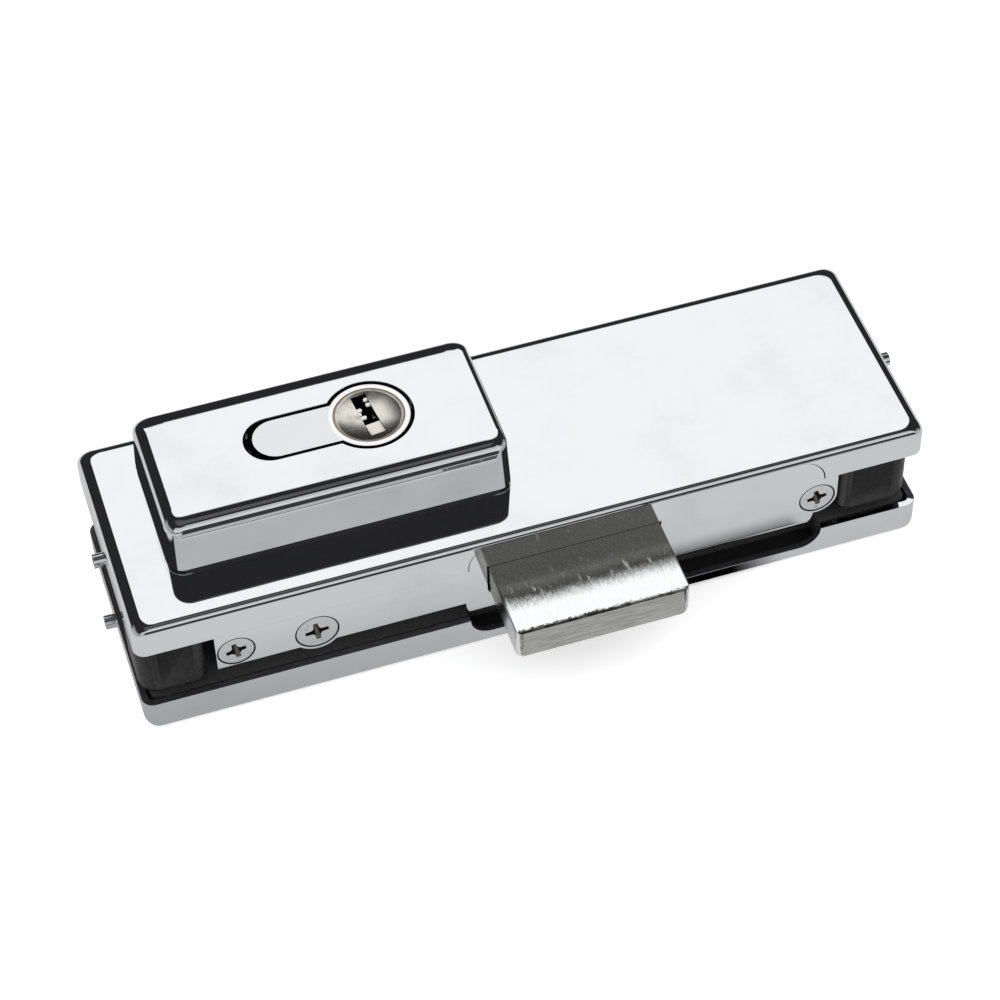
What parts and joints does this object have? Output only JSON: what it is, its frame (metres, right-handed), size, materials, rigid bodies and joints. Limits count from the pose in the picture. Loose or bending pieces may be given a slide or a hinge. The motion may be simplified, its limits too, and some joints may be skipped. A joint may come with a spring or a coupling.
{
  "type": "corner patch lock",
  "caption": "Corner patch lock for a frameless glass door: polished clamp covers, a raised key cylinder housing and a flat bolt in the leading edge.",
  "frame": {"origin": "centre of the back cover's flat outer face", "axes": "+X along the lock, away from the key cylinder; +Z from the back cover to the key side; -Y is the leading edge where the bolt comes out"},
  "size_m": [0.1748, 0.0703, 0.0447],
  "materials": {
    "polished_chrome": "mirror-polished chrome plate",
    "bright_screw": "bright plated screw steel",
    "zinc_steel": "zinc-plated steel",
    "plate_alloy": "as-cast alloy",
    "cast_case": "dark cast case",
    "black_rubber": "black rubber with a slight sheen",
    "guide_plastic": "black acetal",
    "brushed_bolt": "brushed and nickel-plated, with fine scratches",
    "drive_steel": "plain hardened steel",
    "nickel_bright": "nickel-plated brass, polished",
    "nickel_warm": "satin nickel-plated brass, turned",
    "pin_brass": "plain brass"
  },
  "bodies": {
    "frame": {"front_cover": "polished_chrome", "back_cover": "polished_chrome", "cover_grub_screws": "bright_screw", "cylinder_housing": "polished_chrome", "housing_seal": "black_rubber", "housing_screws": "zinc_steel", "front_clamp_plate": "plate_alloy", "back_clamp_plate": "plate_alloy", "front_gasket": "black_rubber", "back_gasket": "black_rubber", "clamp_screws": "zinc_steel", "clamp_sleeves": "guide_plastic", "end_block_left": "black_rubber", "end_block_right": "black_rubber", "lock_case": "cast_case", "case_lid": "cast_case", "case_lid_screws": "zinc_steel", "case_screws": "zinc_steel", "case_face": "polished_chrome", "face_screws": "bright_screw", "cylinder_fixing_screw": "bright_screw", "cylinder_body": "nickel_bright", "driver_pins": "pin_brass", "pin_springs": "zinc_steel", "chamber_plugs": "pin_brass", "bolt_guide": "guide_plastic", "drag_pad": "guide_plastic", "drag_spring": "zinc_steel"},
    "bolt": {"bolt": "brushed_bolt", "bolt_tail": "drive_steel", "tail_pins": "zinc_steel"},
    "plug": {"cylinder_plug": "nickel_warm", "plug_clip": "zinc_steel", "key_pins": "pin_brass", "side_pins": "pin_brass", "cylinder_cam": "drive_steel"}
  },
  "joints": [
    {"name": "bolt_slide", "type": "slide", "parent": "frame", "child": "bolt", "axis": [0, 1, 0], "range_m": [0, 0.0185]},
    {"name": "plug_turn", "type": "hinge", "parent": "frame", "child": "plug", "pos_m": [-0.0265, 0.004, 0], "axis": [0, 0, 1], "range_deg": [0, 90]}
  ],
  "couplings": [
    {"joint": "plug_turn", "follows": "bolt_slide", "rad_per_m": 84.9}
  ]
}
